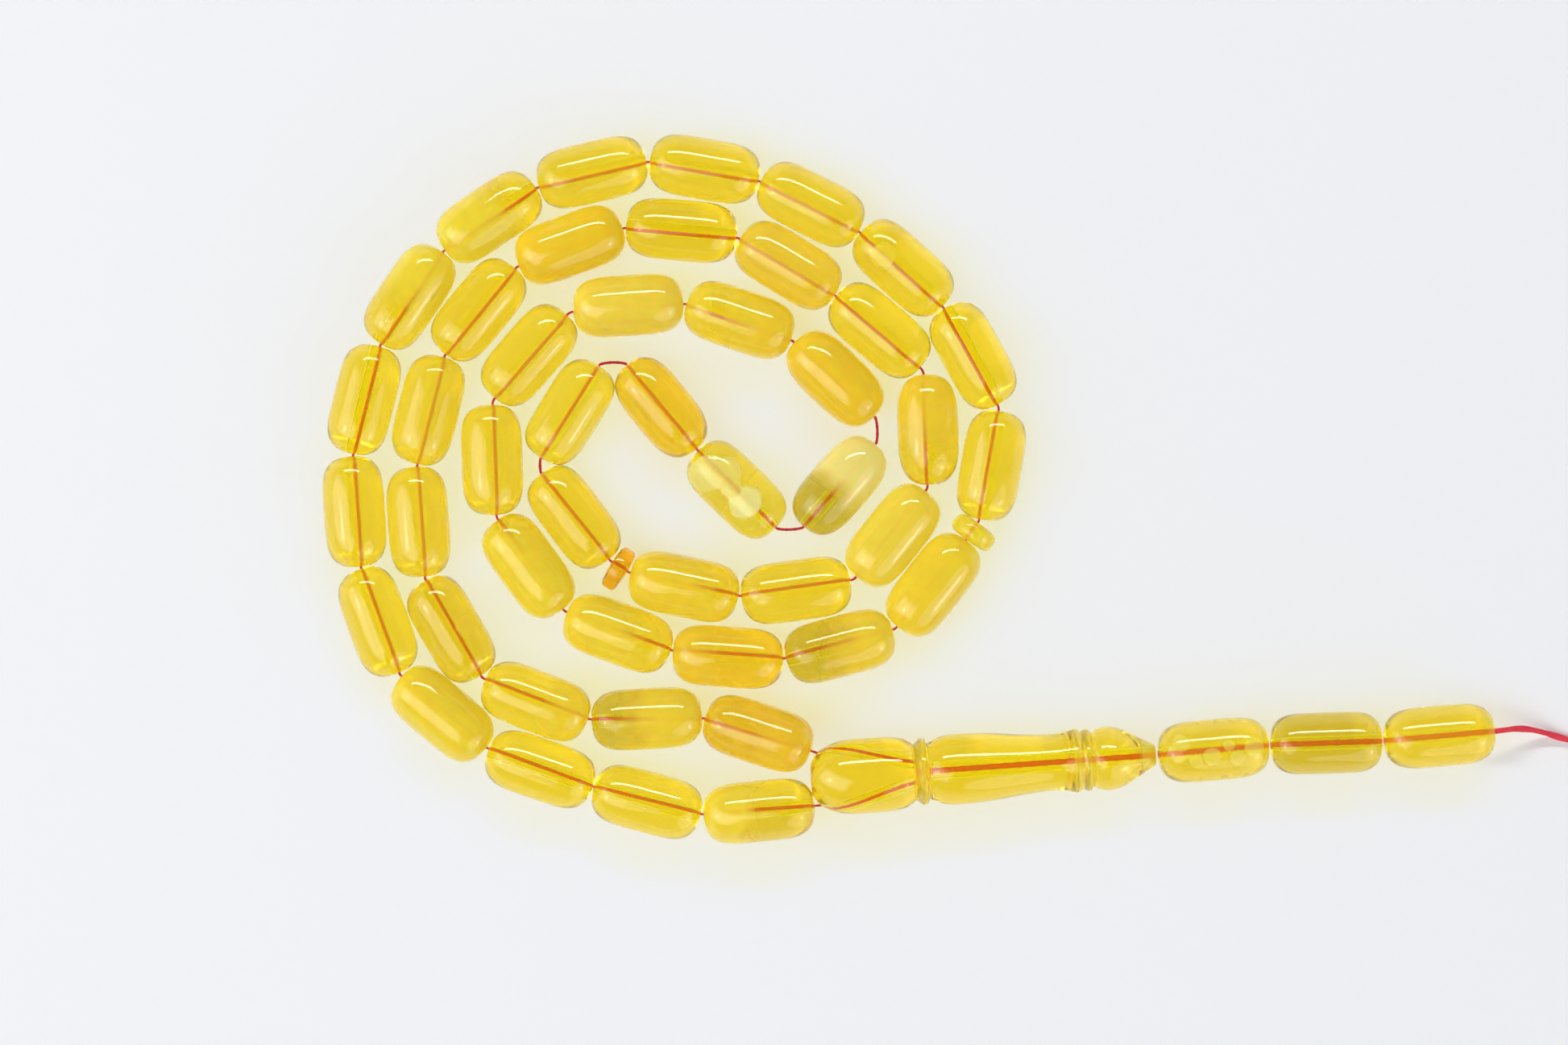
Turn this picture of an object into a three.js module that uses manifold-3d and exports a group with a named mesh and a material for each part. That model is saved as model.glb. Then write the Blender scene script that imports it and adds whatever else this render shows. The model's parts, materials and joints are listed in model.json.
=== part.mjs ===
// A misbaha, a string of prayer beads, laid on a table in a flat double coil: 45 barrel beads in three
// fifteens parted by two marker discs, a turned imame (head piece) that gathers both ends of the loop,
// three tail beads on the doubled thread, and the bare end left for a tassel.
// Millimetres, +Z up. The origin is on the table, under the middle of everything but the free thread.
import * as THREE from "three";
import { mergeVertices } from "three/addons/utils/BufferGeometryUtils.js";
import Module from "manifold-3d";

// ---- driving dimensions ----
const bead_length = 14.3;
const bead_diameter = 8;
const bead_end_face = 2; // diameter of the flat round the hole
const bead_waist = 5.3; // the straight middle of the barrel
const bead_bore = 1.2;
const bead_gap = 0.15; // between the ends of two strung pieces
const strand_gap = 0.1; // least room between one turn of the coil and the next

const marker_diameter = 5.4;
const marker_face = 2.6; // diameter of the hub's flat face
const round_marker = { hub: 2.6, rim: 1.7 }; // thickness at the hub and at the rim
const cut_marker = { hub: 2.4, rim: 1.1 };

const imame_length = 45;
const head_diameter = 9.76;
const head_face = 2.6; // the small flat at the tip of the head's dome
const head_dome = 5.8; // where the dome reaches the head's full diameter
const head_straight = 3.4;
const head_shoulder = 4.4;
const collar_neck = 7.2; // diameter of the turned necks beside the collar
const collar_diameter = 8.7;
const collar_width = 0.9;
const collar_edge = 0.2; // the collar's edges are broken over this width
const collar_step = 0.65; // width of the bevel that leads up to the collar
const body_diameter = 9.24;
const body_shoulder = 4.4;
const body_taper = 11.6; // from the body's widest place to its waist
const taper_ease = 4.6; // how far the taper keeps to the straight at each of its ends
const waist_diameter = 7.36;
const flare_diameter = 8.24;
const flare_length = 2.9;
const flare_land = 0.5;
const groove_diameter = 7.5;
const bead_ring_diameter = 8.04;
const bead_ring_width = 0.7;
const finial_neck = 7;
const finial_diameter = 8.3;
const finial_shoulder = 1.9;
const finial_round = 2.2; // how far the bulb's side runs on before the cone
const tip_diameter = 2.66;

const thread_diameter = 0.5;
const doubled_thread = 0.9; // two plies, side by side and twisted
const loop_bore = 1.2; // the two bores of the head
const stem_bore = 1.6; // the single bore from the collar to the tip
const mouth_spread = 6.8; // between the two mouths on the dome
const apex_spread = 0.8; // between the two plies where the bores meet
const mouth_gap = 0.95; // bare thread between a mouth and the bead beside it
const thread_break = 0.3; // between two lengths of thread that meet end to end

const tail_swing = 12; // degrees that each tail bead can swing either way
const tail_running_gap = 0.05; // what is left between the ends at that limit

const coil_radius = 5.2; // middle of the turns
const coil_turns = 2.35;
const knot_diameter = 2.2;
const knot_length = 1.9;

const around_bead = 12;
const bead_shoulder_steps = 2;
const around_imame = 20;
const around_thread = 8;

// ---- the lay: which way each strung piece points, in degrees, from the imame's first mouth to its second ----
const first_fifteen = [-174, 165, 161, 140, 110, 94, 76, 56, 34, 13, -10, -27, -42, -61, -100];
const round_marker_heading = -126;
const second_fifteen = [-128, -165, 176, 160, 126, 92, 49, 4, -19, -44, -131, 136, 129, -122, -53];
const cut_marker_heading = -32;
const third_fifteen = [-12, 8, 51, 92, 140, 149, 175, -160, -129, -104, -86, -60, -21, 3, -18];
// Bare thread at the turn-round in the middle, as [heading, length] after the bead of that number.
const slack_after = { 25: [-88, 2.7], 26: [-177, 2.6], 28: [176, 2.6], 29: [-86, 1.2] };
// The turns of this lay clear each other while a bead is no thicker than this share of its length.
const lay_slimness = 0.567;
const imame_heading = 4;
const tail_headings = [5, 2, 5];
// The free thread from the last tail bead's bore: down to the table, then along it to the coil.
const free_route = [
  [0, 0, 0], [1.4, 0.16, -0.16], [2.8, 0.28, -0.7], [4.2, 0.2, -1.5], [5.7, -0.05, -2.35],
  [7.4, -0.5, -3.0], [9.2, -1.05, -3.36], [11.1, -1.55, -3.41], [13.2, -1.95, -3.41],
  [15.4, -2.15, -3.41], [17.6, -2.2, -3.41],
];

// ---- materials ----
const amber = (color, roughness) => new THREE.MeshStandardMaterial({ color, roughness, metalness: 0 });
const clear_amber = amber(0xe3c034, 0.08);
const milky_amber = amber(0xeccb62, 0.14);
const orange_amber = amber(0xeaa835, 0.1);
const red_thread = new THREE.MeshStandardMaterial({ color: 0xc81e32, roughness: 0.75, metalness: 0 });
const milky_beads = new Set([4, 8, 9, 16, 19, 20, 23, 24, 27, 31, 33, 40, 44]);
const orange_beads = new Set([18, 25, 28, 36, 38, 45]);

// ---- helpers ----
const degrees = THREE.MathUtils.degToRad;
const up = new THREE.Vector3(0, 0, 1);
const radial = (radius, along) => new THREE.Vector2(radius, along);

function headingVector(heading) {
  return new THREE.Vector3(Math.cos(degrees(heading)), Math.sin(degrees(heading)), 0);
}

// Turns a shape made along +Y so that it lies along `direction` with its own +Z uppermost.
function layAlong(mesh, direction) {
  const along = direction.clone().normalize();
  const side = along.clone().cross(up).normalize();
  mesh.quaternion.setFromRotationMatrix(new THREE.Matrix4().makeBasis(side, along, side.clone().cross(along)));
  return mesh;
}

// A profile turned about +Y, rolled so that one facet faces straight down.
function turned(profile, segments) {
  return new THREE.LatheGeometry(profile, segments).rotateY(Math.PI / segments);
}

// The profile of a piece with a hole through it: half of it is given, from the hole outwards.
function holedProfile(half) {
  const mirrored = half.map((p) => radial(p.x, -p.y)).reverse();
  return [...half, ...mirrored, half[0]].reverse();
}

// A thread runs straight from one point to the next, so every ring of its tube sits on a point.
class StraightRuns extends THREE.Curve {
  constructor(points) {
    super();
    this.points = points;
  }
  getPoint(t, target = new THREE.Vector3()) {
    const at = t * (this.points.length - 1);
    const i = Math.min(Math.floor(at), this.points.length - 2);
    return target.lerpVectors(this.points[i], this.points[i + 1], at - i);
  }
  getTangent(t, target = new THREE.Vector3()) {
    const i = Math.round(t * (this.points.length - 1));
    const here = this.points[i];
    const into = here.clone().sub(this.points[Math.max(i - 1, 0)]).normalize();
    const outOf = this.points[Math.min(i + 1, this.points.length - 1)].clone().sub(here).normalize();
    return target.copy(into.add(outOf)).normalize();
  }
  getUtoTmapping(u) {
    return u;
  }
}

function thread(points, diameter) {
  const section = Array.from({ length: around_thread }, (_, k) => {
    const angle = (2 * Math.PI * (k + 0.5)) / around_thread;
    return new THREE.Vector2((diameter / 2) * Math.cos(angle), (diameter / 2) * Math.sin(angle));
  });
  return new THREE.ExtrudeGeometry(new THREE.Shape(section), {
    steps: points.length - 1,
    extrudePath: new StraightRuns(points),
  });
}

// ---- bead, marker ----
// Half a bead's outline: the hole, the flat round it, an elliptical shoulder and the straight waist.
function beadHalf(shoulder_steps) {
  const face = bead_end_face / 2;
  const rise = bead_diameter / 2 - face;
  const run = (bead_length - bead_waist) / 2;
  const half = [radial(bead_bore / 2, bead_length / 2)];
  for (let k = 0; k <= shoulder_steps; k++) {
    const angle = (k / shoulder_steps) * (Math.PI / 2);
    half.push(radial(face + rise * Math.sin(angle), bead_waist / 2 + run * Math.cos(angle)));
  }
  return half;
}

function markerHalf({ hub, rim }) {
  return [
    radial(bead_bore / 2, hub / 2),
    radial(marker_face / 2, hub / 2),
    radial(marker_diameter / 2, rim / 2),
  ];
}

// An overhand knot's outer shape: a ball a little squat along the thread.
function knotGeometry() {
  const ball = new THREE.SphereGeometry(knot_diameter / 2, around_thread, around_thread / 2);
  return ball.scale(knot_length / knot_diameter, 1, 1);
}

// ---- imame ----
const head_end = head_dome + head_straight + head_shoulder;
const collar_start = head_end + collar_step;
const body_start = collar_start + collar_width + collar_step / 2;
const body_widest = body_start + body_shoulder;
const waist_at = body_widest + body_taper;
const flare_at = waist_at + flare_length;
const ring_at = flare_at + flare_land + bead_ring_width;
const finial_start = ring_at + bead_ring_width;
const finial_widest = finial_start + finial_shoulder;
const head_widest = head_dome + head_straight / 2;

// A quarter of an ellipse between a neck and a full diameter, rising or falling along the axis.
function shoulder(outline, neck, full, neckAt, fullAt) {
  const rising = fullAt > neckAt;
  const [from, to] = rising ? [-Math.PI / 2, 0] : [0, Math.PI / 2];
  outline.absellipse(neck / 2, fullAt, (full - neck) / 2, Math.abs(fullAt - neckAt), from, to);
}

function imameOutline() {
  const outline = new THREE.Path();
  outline.moveTo(0, 0).lineTo(head_face / 2, 0);
  shoulder(outline, head_face, head_diameter, 0, head_dome);
  outline.lineTo(head_diameter / 2, head_dome + head_straight);
  shoulder(outline, collar_neck, head_diameter, head_end, head_dome + head_straight);
  outline.lineTo((collar_diameter - collar_edge) / 2, collar_start);
  outline.lineTo(collar_diameter / 2, collar_start + collar_edge);
  outline.lineTo(collar_diameter / 2, collar_start + collar_width - collar_edge);
  outline.lineTo(collar_neck / 2, body_start);
  shoulder(outline, collar_neck, body_diameter, body_start, body_widest);
  const [body, waist] = [body_diameter / 2, waist_diameter / 2];
  outline.bezierCurveTo(
    body, body_widest + taper_ease, waist, waist_at - taper_ease, waist, waist_at,
  );
  outline.quadraticCurveTo(waist, waist_at + flare_length / 2, flare_diameter / 2, flare_at);
  outline.lineTo(flare_diameter / 2, flare_at + flare_land);
  outline.lineTo(groove_diameter / 2, ring_at - bead_ring_width / 2);
  outline.lineTo(bead_ring_diameter / 2, ring_at);
  outline.lineTo(finial_neck / 2, finial_start);
  shoulder(outline, finial_neck, finial_diameter, finial_start, finial_widest);
  outline.quadraticCurveTo(finial_diameter / 2, finial_widest + finial_round, tip_diameter / 2, imame_length);
  outline.lineTo(0, imame_length);
  return outline.getPoints(2);
}

// Where the thread comes out of the dome, on the dome's own curve.
function mouth(side) {
  const reach = (mouth_spread - head_face) / (head_diameter - head_face);
  return new THREE.Vector3((side * mouth_spread) / 2, head_dome * (1 - Math.sqrt(1 - reach ** 2)), 0);
}

const apex_at = collar_start + collar_width / 2;
const apex = (side) => new THREE.Vector3((side * apex_spread) / 2, apex_at, 0);

const wasm = await Module();
wasm.setup();

function toSolid(geometry) {
  const bare = geometry.clone();
  bare.deleteAttribute("normal");
  bare.deleteAttribute("uv");
  const merged = mergeVertices(bare, 1e-5);
  return new wasm.Manifold(
    new wasm.Mesh({
      numProp: 3,
      vertProperties: new Float32Array(merged.attributes.position.array),
      triVerts: new Uint32Array(merged.index.array),
    }),
  );
}

function toGeometry(solid) {
  const mesh = solid.getMesh();
  const geometry = new THREE.BufferGeometry();
  geometry.setAttribute("position", new THREE.BufferAttribute(new Float32Array(mesh.vertProperties), 3));
  geometry.setIndex(new THREE.BufferAttribute(new Uint32Array(mesh.triVerts), 1));
  geometry.computeVertexNormals();
  return geometry;
}

// A straight drill from one point to another, with its ends run on a little past both.
function drill(from, to, diameter, past) {
  const run = to.clone().sub(from).setLength(past);
  return toSolid(thread([from.clone().sub(run), to.clone().add(run)], diameter));
}

function imameGeometry() {
  const blank = toSolid(new THREE.LatheGeometry(imameOutline(), around_imame).rotateY(Math.PI / around_imame));
  const run_out = loop_bore / 2;
  const stem_from = new THREE.Vector3(0, apex_at - run_out, 0);
  const stem_to = new THREE.Vector3(0, imame_length + run_out, 0);
  return toGeometry(
    blank
      .subtract(drill(mouth(1), apex(1), loop_bore, run_out))
      .subtract(drill(mouth(-1), apex(-1), loop_bore, run_out))
      .subtract(drill(stem_from, stem_to, stem_bore, 0)),
  );
}

// ---- assembly ----
const assembly = new THREE.Group();
assembly.name = "misbaha";

function piece(name, geometry, material) {
  const mesh = new THREE.Mesh(geometry, material);
  mesh.name = name;
  assembly.add(mesh);
  return mesh;
}

const amberOf = (number) =>
  milky_beads.has(number) ? milky_amber : orange_beads.has(number) ? orange_amber : clear_amber;

// The imame lies on its head and its body, so it points a little down towards the tip.
const imame_droop = Math.atan2(head_diameter - body_diameter, 2 * (body_widest - head_widest));
const imame = piece("imame", imameGeometry(), clear_amber);
const imame_direction = headingVector(imame_heading).setZ(-Math.tan(imame_droop)).normalize();
layAlong(imame, imame_direction);
imame.position.z -= new THREE.Box3().setFromObject(imame, true).min.z;
imame.updateMatrixWorld();
const onImame = (point) => imame.localToWorld(point.clone());

// Every strung piece of the loop, in order.
const bead_half = beadHalf(12);
const loop = [];
[first_fifteen, second_fifteen, third_fifteen].forEach((headings, k) => {
  headings.forEach((heading) => {
    const number = loop.filter((item) => item.number).length + 1;
    loop.push({ name: `bead_${String(number).padStart(2, "0")}`, number, heading, half: bead_half });
    if (slack_after[number]) loop.push({ heading: slack_after[number][0], bare: slack_after[number][1] });
  });
  if (k === 0) loop.push({ name: "round_marker", heading: round_marker_heading, half: markerHalf(round_marker) });
  if (k === 1) loop.push({ name: "cut_marker", heading: cut_marker_heading, half: markerHalf(cut_marker) });
});

// Half the bend between two neighbours, and how far from that bend a piece's end has to stay.
function halfBend(one, other) {
  return headingVector(one.heading).angleTo(headingVector(other.heading)) / 2;
}

function lead(item, other) {
  if (item.bare) return 0;
  if (!other) return mouth_gap;
  const half = halfBend(item, other);
  const face_at = item.half[0].y;
  const corners = item.half.map((p) => p.x * Math.tan(half) - (face_at - p.y));
  return Math.max(...corners) + bead_gap / 2 / Math.cos(half);
}

const rest_height = (bead_diameter / 2) * Math.cos(Math.PI / around_bead);
const coil_opens = Math.max(1, (bead_diameter + strand_gap) / (bead_length * lay_slimness));
const first_mouth = onImame(mouth(1));
const last_mouth = onImame(mouth(-1));
const bends = [first_mouth.clone()];
loop.forEach((item, k) => {
  item.before = lead(item, loop[k - 1]);
  item.after = lead(item, loop[k + 1]);
  const span = item.bare ?? 2 * item.half[0].y;
  const step = (item.before + span + item.after) * coil_opens;
  bends.push(bends.at(-1).clone().addScaledVector(headingVector(item.heading), step));
});
// What whole degrees leave open at the second mouth is shared out over all the bends.
const shortfall = last_mouth.clone().sub(bends.at(-1));
bends.forEach((bend, k) => {
  bend.addScaledVector(shortfall, k / loop.length);
  bend.z = k === 0 ? first_mouth.z : k === loop.length ? last_mouth.z : rest_height;
});

const bead_geometry = turned(holedProfile(beadHalf(bead_shoulder_steps)), around_bead);
loop.forEach((item, k) => {
  if (item.bare) return;
  const [from, to] = [bends[k], bends[k + 1]];
  const spare = from.distanceTo(to) - item.before - item.after;
  const centre = (item.before + spare / 2) / from.distanceTo(to);
  const geometry = item.number ? bead_geometry : turned(holedProfile(item.half), around_bead);
  const material = item.name === "cut_marker" ? orange_amber : amberOf(item.number);
  const mesh = piece(item.name, geometry, material);
  mesh.position.lerpVectors(from, to, centre);
  layAlong(mesh, to.clone().sub(from));
});

// One thread runs from the apex of the imame's bores round the whole loop and back to it.
piece("loop_thread", thread([onImame(apex(1)), ...bends, onImame(apex(-1))], thread_diameter), red_thread);

// ---- tail: each bead hangs on its own length of doubled thread, which swings at the gap before it ----
const tail_directions = [imame_direction, ...tail_headings.map(headingVector)];
const tail_bends = tail_headings.map((_, k) => tail_directions[k].angleTo(tail_directions[k + 1]));
const tail_half_bend = (degrees(tail_swing) + Math.max(...tail_bends)) / 2;
const tail_lead = (Math.tan(tail_half_bend) * Math.max(bead_end_face, tip_diameter)) / 2 + tail_running_gap;
const tip = onImame(new THREE.Vector3(0, imame_length, 0));
const pivots = [tip.clone().addScaledVector(imame_direction, tail_lead)];
tail_headings.forEach((heading) => {
  const next = pivots.at(-1).clone().addScaledVector(headingVector(heading), bead_length + 2 * tail_lead);
  pivots.push(next.setZ(rest_height));
});

// A length of doubled thread that stops short of both its ends by half a break.
function doubledBetween(from, to) {
  const run = to.clone().sub(from).setLength(thread_break / 2);
  return thread([from.clone().add(run), to.clone().sub(run)], doubled_thread);
}

const meeting = onImame(new THREE.Vector3(0, apex_at, 0));
piece("stem_thread", doubledBetween(meeting, pivots[0]), red_thread);
tail_headings.forEach((_, k) => {
  const [from, to] = [pivots[k], pivots[k + 1]];
  piece(`tail_thread_${k + 1}`, doubledBetween(from, to), red_thread);
  const bead = piece(`tail_bead_${k + 1}`, bead_geometry, k === 0 ? milky_amber : clear_amber);
  bead.position.lerpVectors(from, to, 0.5);
  layAlong(bead, to.clone().sub(from));
});

// ---- the free end: tube, coil and knot ----
const held = new THREE.Box3().setFromObject(assembly, true);
const exit = pivots.at(-1);
const route = new THREE.CatmullRomCurve3(free_route.map(([x, y, z]) => exit.clone().add(new THREE.Vector3(x, y, z))));
const route_steps = Math.round(route.getLength() / (2 * doubled_thread));
const route_points = route.getSpacedPoints(route_steps);
route_points[0].addScaledVector(headingVector(tail_headings.at(-1)), thread_break / 2);
piece("free_thread", thread(route_points, doubled_thread), red_thread);

// The turns lie flat beside each other, and the thread comes in along the outermost one.
const coil_half_width = ((coil_turns + 1) * doubled_thread) / 2;
const coil_outside = coil_radius + coil_half_width;
const coil_inside = coil_radius - coil_half_width;
const meets_coil = Math.sqrt(coil_outside ** 2 - (coil_outside - doubled_thread) ** 2) + thread_break;
const coil_centre = route_points.at(-1).clone();
coil_centre.x += meets_coil;
coil_centre.y += coil_outside - doubled_thread / 2;
coil_centre.z = 0;
const coil_section = [
  radial(coil_inside, 0),
  radial(coil_outside, 0),
  radial(coil_outside, doubled_thread),
  radial(coil_inside, doubled_thread),
  radial(coil_inside, 0),
];
const coil = piece("thread_coil", new THREE.LatheGeometry(coil_section, 2 * around_bead).rotateX(Math.PI / 2), red_thread);
coil.position.copy(coil_centre);

// The knot lies on the table inside the coil, where the innermost turn ends.
const knot_radius = knot_diameter / 2;
const knot = piece("end_knot", knotGeometry(), red_thread);
knot.position.copy(coil_centre).add(new THREE.Vector3(coil_inside - knot_length / 2 - thread_break, 0, knot_radius));

// ---- the origin goes under the middle of all that the beads and the imame take up ----
const middle = held.getCenter(new THREE.Vector3());
assembly.position.set(-middle.x, -middle.y, 0);
assembly.updateMatrixWorld(true);

export default assembly;
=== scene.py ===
import json
import math
import random

import bmesh
import bpy
from mathutils import Matrix, Quaternion, Vector, noise


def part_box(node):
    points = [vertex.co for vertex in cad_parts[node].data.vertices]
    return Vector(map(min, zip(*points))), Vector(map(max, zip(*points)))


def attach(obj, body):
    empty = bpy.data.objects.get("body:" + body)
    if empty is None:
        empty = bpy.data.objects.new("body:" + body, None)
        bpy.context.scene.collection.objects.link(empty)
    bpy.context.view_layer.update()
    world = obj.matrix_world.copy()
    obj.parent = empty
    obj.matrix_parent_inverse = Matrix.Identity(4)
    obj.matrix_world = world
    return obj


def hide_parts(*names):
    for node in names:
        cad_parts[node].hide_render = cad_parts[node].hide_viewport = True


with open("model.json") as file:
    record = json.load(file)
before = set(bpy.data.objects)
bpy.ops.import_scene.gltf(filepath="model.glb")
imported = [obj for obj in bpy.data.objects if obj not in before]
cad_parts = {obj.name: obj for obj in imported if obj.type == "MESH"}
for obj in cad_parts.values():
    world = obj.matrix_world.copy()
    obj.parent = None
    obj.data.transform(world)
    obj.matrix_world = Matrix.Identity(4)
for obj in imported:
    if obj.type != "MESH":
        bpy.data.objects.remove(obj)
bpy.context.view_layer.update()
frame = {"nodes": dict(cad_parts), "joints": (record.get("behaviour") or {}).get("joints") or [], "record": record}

MM = 0.001
UP = Vector((0, 0, 1))

# ---- sizes in metres ----
# The part's beads are all as long as the shortest here; each of these is as long as its neighbours let it be.
LONGEST_BEAD, SHORTEST_BEAD = 14.6 * MM, 14.3 * MM
BEAD_RADIUS = 4.0 * MM
BORE_RADIUS, STEM_BORE_RADIUS = 0.6 * MM, 0.8 * MM
THREAD, DOUBLED = 0.5 * MM, 0.9 * MM
THREAD_LAY, DOUBLED_LAY, FREE_LAY = 2.1 * MM, 3.6 * MM, 10.5 * MM  # length of one full twist of the plies
REST_HEIGHT = BEAD_RADIUS * math.cos(math.radians(15))  # the part's beads lie on flats of thirty degrees
ROOM_BELOW = 1.01  # the table is this many radii below the beads' middles, so their unevenness stays above it
TABLE_Z = REST_HEIGHT - BEAD_RADIUS * ROOM_BELOW

# ---- camera ----
VIEW_CENTRE = Vector((-16.3 * MM, -4.3 * MM, 0.0))
VIEW_WIDTH = 204.3 * MM
CAMERA_HEIGHT = 0.6
SENSOR_WIDTH = 36
camera_data = bpy.data.cameras.new("camera")
camera = bpy.data.objects.new("camera", camera_data)
bpy.context.collection.objects.link(camera)
bpy.context.scene.camera = camera
camera.location = VIEW_CENTRE + Vector((0, 0, CAMERA_HEIGHT))
camera_data.sensor_width = SENSOR_WIDTH
camera_data.lens = SENSOR_WIDTH * (CAMERA_HEIGHT - REST_HEIGHT) / VIEW_WIDTH
camera_data.clip_start = 0.01


def smooth(edge0, edge1, x):
    t = min(max((x - edge0) / (edge1 - edge0), 0.0), 1.0)
    return t * t * (3 - 2 * t)


# ---- mesh helpers ----
def make_object(name, verts, faces, materials):
    mesh = bpy.data.meshes.new(name)
    mesh.from_pydata([tuple(v) for v in verts], [], faces)
    mesh.update()
    obj = bpy.data.objects.new(name, mesh)
    bpy.context.collection.objects.link(obj)
    for material in materials:
        mesh.materials.append(material)
    mesh.polygons.foreach_set("use_smooth", [True] * len(mesh.polygons))
    return obj


def mark(obj, layer, values):
    """Writes one value per vertex, which the materials read by the layer's name."""
    obj.data.attributes.new(layer, "FLOAT", "POINT").data.foreach_set("value", values)


def belongs(obj, body, slot, *nodes):
    """The piece moves with a body and stands for CAD nodes, which it hides; slot is not used."""
    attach(obj, body)
    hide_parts(*nodes)


def ring_faces(around, rings, endless=False):
    """Faces that join each ring of points to the next one, and the last to the first if endless."""
    faces = []
    for j in range(rings if endless else rings - 1):
        m = (j + 1) % rings
        for k in range(around):
            n = (k + 1) % around
            faces.append((j * around + k, j * around + n, m * around + n, m * around + k))
    return faces


def tube_faces(around, rings):
    """The faces of a tube through rings of points, with both its ends closed."""
    last = (rings - 1) * around
    return ring_faces(around, rings) + [tuple(range(around))[::-1], tuple(last + k for k in range(around))]


def sweep(path, section, lay, taper=None):
    """Verts and faces of a closed tube along path. Its section is a list of (angle, radius), which turns once in
    every length of lay; taper gives its width's share at a share of the way along."""
    tangents = []
    for i in range(len(path)):
        a, b = path[max(i - 1, 0)], path[min(i + 1, len(path) - 1)]
        tangents.append((b - a).normalized())
    side = tangents[0].orthogonal().normalized()
    verts, run = [], 0.0
    for i, point in enumerate(path):
        if i:
            run += (point - path[i - 1]).length
            turn = tangents[i - 1].rotation_difference(tangents[i])
            side = (turn @ side).normalized()
        up = tangents[i].cross(side)
        grow = 1.0 if taper is None else taper(i / (len(path) - 1))
        spin = 2 * math.pi / lay * run
        for angle, radius in section:
            a = angle + spin
            verts.append(point + (side * math.cos(a) + up * math.sin(a)) * radius * grow)
    return verts, tube_faces(len(section), len(path))


def resample(points, step):
    """The same route with points about one step apart, rounded at its corners by a Catmull-Rom pass."""
    dense = []
    for i in range(len(points) - 1):
        p0 = points[max(i - 1, 0)]
        p1, p2 = points[i], points[i + 1]
        p3 = points[min(i + 2, len(points) - 1)]
        n = max(1, round((p2 - p1).length / step))
        for k in range(n):
            t = k / n
            dense.append(
                0.5 * ((2 * p1) + (p2 - p0) * t + (2 * p0 - 5 * p1 + 4 * p2 - p3) * t * t
                       + (3 * p1 - p0 - 3 * p2 + p3) * t ** 3)
            )
    dense.append(points[-1].copy())
    return dense


def straight_steps(points, step):
    """The same corners, with points about one step apart on the straight lines between them."""
    out = []
    for a, b in zip(points, points[1:]):
        n = max(1, round((b - a).length / step))
        out += [a.lerp(b, k / n) for k in range(n)]
    return out + [points[-1]]


def two_plies(width, sides, waist=0.87):
    """The outline of two round plies side by side, seen end on; waist is its least radius between them, as a
    share of its greatest."""
    ply = width / 4
    section = []
    for k in range(sides):
        angle = 2 * math.pi * k / sides
        radius = width / 2 * waist
        for off in (angle, angle - math.pi):
            under = ply * ply - (ply * math.sin(off)) ** 2
            if under > 0 and math.cos(off) > 0:
                radius = max(radius, ply * math.cos(off) + math.sqrt(under))
        section.append((angle, radius))
    return section


# ---- materials ----
def new_material(name):
    material = bpy.data.materials.new(name)
    material.use_nodes = True
    nodes, links = material.node_tree.nodes, material.node_tree.links
    return material, nodes, links, nodes["Principled BSDF"], nodes["Material Output"]


def feed(links, socket, value):
    """Gives a socket its value, or the output of another node that drives it."""
    if isinstance(value, bpy.types.NodeSocket):
        links.new(value, socket)
    else:
        socket.default_value = value


def mix_colour(nodes, links, factor, a, b):
    mix = nodes.new("ShaderNodeMix")
    mix.data_type = "RGBA"
    for socket, value in (("Factor", factor), ("A", a), ("B", b)):
        feed(links, mix.inputs[socket], value)
    return mix.outputs["Result"]


def mix_shader(nodes, links, factor, a, b):
    mix = nodes.new("ShaderNodeMixShader")
    for socket, value in zip(mix.inputs, (factor, a, b)):
        links.new(value, socket)
    return mix.outputs["Shader"]


def math_node(nodes, links, operation, a, b, clamp=False):
    node = nodes.new("ShaderNodeMath")
    node.operation = operation
    node.use_clamp = clamp
    for socket, value in zip(node.inputs, (a, b)):
        feed(links, socket, value)
    return node.outputs[0]


def map_range(nodes, links, value, given=(0.0, 1.0), result=(0.0, 1.0)):
    node = nodes.new("ShaderNodeMapRange")
    for name, limit in zip(("From Min", "From Max", "To Min", "To Max"), given + result):
        node.inputs[name].default_value = limit
    links.new(value, node.inputs["Value"])
    return node.outputs["Result"]


def noise_node(nodes, links, scale, distortion=0.0):
    coords = nodes.new("ShaderNodeTexCoord")
    texture = nodes.new("ShaderNodeTexNoise")
    texture.inputs["Scale"].default_value = scale
    texture.inputs["Detail"].default_value = 2.0
    texture.inputs["Distortion"].default_value = distortion
    links.new(coords.outputs["Object"], texture.inputs["Vector"])
    return texture.outputs["Fac"]


def attribute(nodes, name):
    node = nodes.new("ShaderNodeAttribute")
    node.attribute_name = name
    return node.outputs["Fac"]


def let_light_through(nodes, links, shader, output):
    """Lamps shine through amber: shadow and bounced rays pass its surface unbent, and its volume colours them."""
    path = nodes.new("ShaderNodeLightPath")
    clear = nodes.new("ShaderNodeBsdfTransparent")
    clear.inputs["Color"].default_value = SURFACE_TINT
    shown = shader.outputs["BSDF"]
    for kind in ("Is Diffuse Ray", "Is Shadow Ray"):
        shown = mix_shader(nodes, links, path.outputs[kind], shown, clear.outputs["BSDF"])
    links.new(shown, output.inputs["Surface"])


def absorb_in(nodes, links, output, absorb):
    """Amber takes blue out of light: absorb is how much per metre of red, green and blue."""
    volume = nodes.new("ShaderNodeVolumeAbsorption")
    density = max(absorb)
    volume.inputs["Density"].default_value = density
    volume.inputs["Color"].default_value = tuple(1 - a / density for a in absorb) + (1.0,)
    links.new(volume.outputs[0], output.inputs["Volume"])


# the third colour here is painted shade: the dark olive of clear amber where the unlit table below shows through it
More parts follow.
